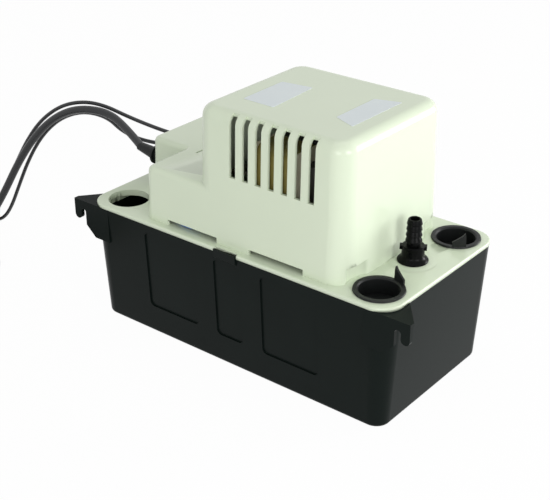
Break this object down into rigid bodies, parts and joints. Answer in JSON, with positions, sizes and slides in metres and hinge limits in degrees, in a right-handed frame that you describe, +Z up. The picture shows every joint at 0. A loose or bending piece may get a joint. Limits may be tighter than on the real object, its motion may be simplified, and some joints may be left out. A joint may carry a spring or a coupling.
{
  "type": "condensate pump",
  "caption": "Condensate pump for air-conditioning drains: black tank, ivory deck and motor hood, barbed check-valve outlet, float switches, pluggable inlets and power cord.",
  "frame": {"origin": "middle of the tank's footprint at the surface it stands on", "axes": "+X along the tank towards the discharge end, -Y the long side with the hanging ears, +Z up"},
  "size_m": [0.5184, 0.2401, 0.1992],
  "materials": {
    "tank_black": "satin",
    "hood_ivory": "gloss",
    "black_rubber": "matte",
    "fitting_black": "satin",
    "core_steel": "matte",
    "winding_copper": "satin",
    "bobbin_nylon": "satin",
    "cast_zinc": "matte",
    "zinc_steel": "satin",
    "bearing_bronze": "satin",
    "rotor_aluminium": "satin",
    "fan_plastic": "satin",
    "pump_plastic": "satin",
    "clear_vinyl": "gloss",
    "float_foam": "matte",
    "switch_black": "satin",
    "switch_red": "gloss",
    "terminal_brass": "satin",
    "cord_black": "satin",
    "wire_blue": "gloss",
    "wire_black": "satin",
    "bare_copper": "satin"
  },
  "bodies": {
    "pump_housing": {"tank": "tank_black", "tank_cover": "hood_ivory", "motor_cover": "hood_ivory", "cover_screws": "zinc_steel", "stator_core": "core_steel", "coil_bobbin": "bobbin_nylon", "stator_coil": "winding_copper", "shading_rings": "bare_copper", "upper_bearing_bracket": "cast_zinc", "lower_bearing_bracket": "cast_zinc", "upper_bearing": "bearing_bronze", "lower_bearing": "bearing_bronze", "motor_standoffs": "hood_ivory", "motor_bolts": "zinc_steel", "motor_nuts": "zinc_steel", "pump_column": "pump_plastic", "column_screws": "zinc_steel", "volute": "pump_plastic", "intake_plate": "pump_plastic", "volute_screws": "zinc_steel", "discharge_tube": "clear_vinyl", "check_valve": "fitting_black", "valve_seat": "black_rubber", "float_guide": "bobbin_nylon", "switch_bracket": "zinc_steel", "bracket_screws": "zinc_steel", "main_switch": "switch_black", "safety_switch": "switch_black", "switch_terminals": "terminal_brass", "switch_screws": "zinc_steel", "rocker_pin": "zinc_steel", "power_cord": "cord_black", "alarm_lead_a": "cord_black", "alarm_lead_b": "cord_black", "blue_lead": "wire_blue", "black_lead": "wire_black", "power_cord_coil": "cord_black", "alarm_coil_a": "cord_black", "alarm_coil_b": "cord_black", "lead_ends": "bare_copper", "power_cord_tail": "cord_black", "mains_plug": "black_rubber", "plug_blades": "terminal_brass", "cord_strain_relief": "black_rubber"},
    "rotor": {"motor_shaft": "zinc_steel", "rotor_core": "rotor_aluminium", "cooling_fan": "fan_plastic", "water_slinger": "black_rubber", "impeller": "pump_plastic"},
    "float": {"float_block": "float_foam", "float_rod": "zinc_steel", "float_clips": "zinc_steel"},
    "rocker": {"rocker_lever": "bobbin_nylon"},
    "main_button": {"main_plunger": "switch_red"},
    "safety_button": {"safety_plunger": "switch_red"},
    "valve_ball": {"check_ball": "bobbin_nylon"},
    "front_plug": {"inlet_plug_front": "black_rubber"},
    "back_plug": {"inlet_plug_back": "black_rubber"}
  },
  "joints": [
    {"name": "rotor_spin", "type": "hinge", "parent": "pump_housing", "child": "rotor", "pos_m": [0.036, -0.003, 0.16], "axis": [0, 0, 1], "continuous": true},
    {"name": "float_travel", "type": "slide", "parent": "pump_housing", "child": "float", "axis": [0, 0, 1], "range_m": [0, 0.018]},
    {"name": "switch_rocker", "type": "hinge", "parent": "pump_housing", "child": "rocker", "pos_m": [-0.032, 0.018, 0.1205], "axis": [0, 1, 0], "range_deg": [0, 19.65]},
    {"name": "main_switch_plunger", "type": "slide", "parent": "pump_housing", "child": "main_button", "axis": [0, 0, 1], "range_m": [-0.00209, 0]},
    {"name": "safety_switch_plunger", "type": "slide", "parent": "pump_housing", "child": "safety_button", "axis": [0, 0, 1], "range_m": [-0.0008, 0], "stiffness_N_per_m": 200, "springref_m": 0.0005},
    {"name": "check_ball_lift", "type": "slide", "parent": "pump_housing", "child": "valve_ball", "axis": [0, 0, 1], "range_m": [0, 0.002]},
    {"name": "front_plug_pull", "type": "slide", "parent": "pump_housing", "child": "front_plug", "axis": [0, 0, 1], "range_m": [0, 0.025]},
    {"name": "back_plug_pull", "type": "slide", "parent": "pump_housing", "child": "back_plug", "axis": [0, 0, 1], "range_m": [0, 0.025]}
  ],
  "couplings": [
    {"joint": "switch_rocker", "follows": "float_travel", "rad_per_m": 19.042},
    {"joint": "main_switch_plunger", "follows": "float_travel", "ratio": -0.11539}
  ]
}
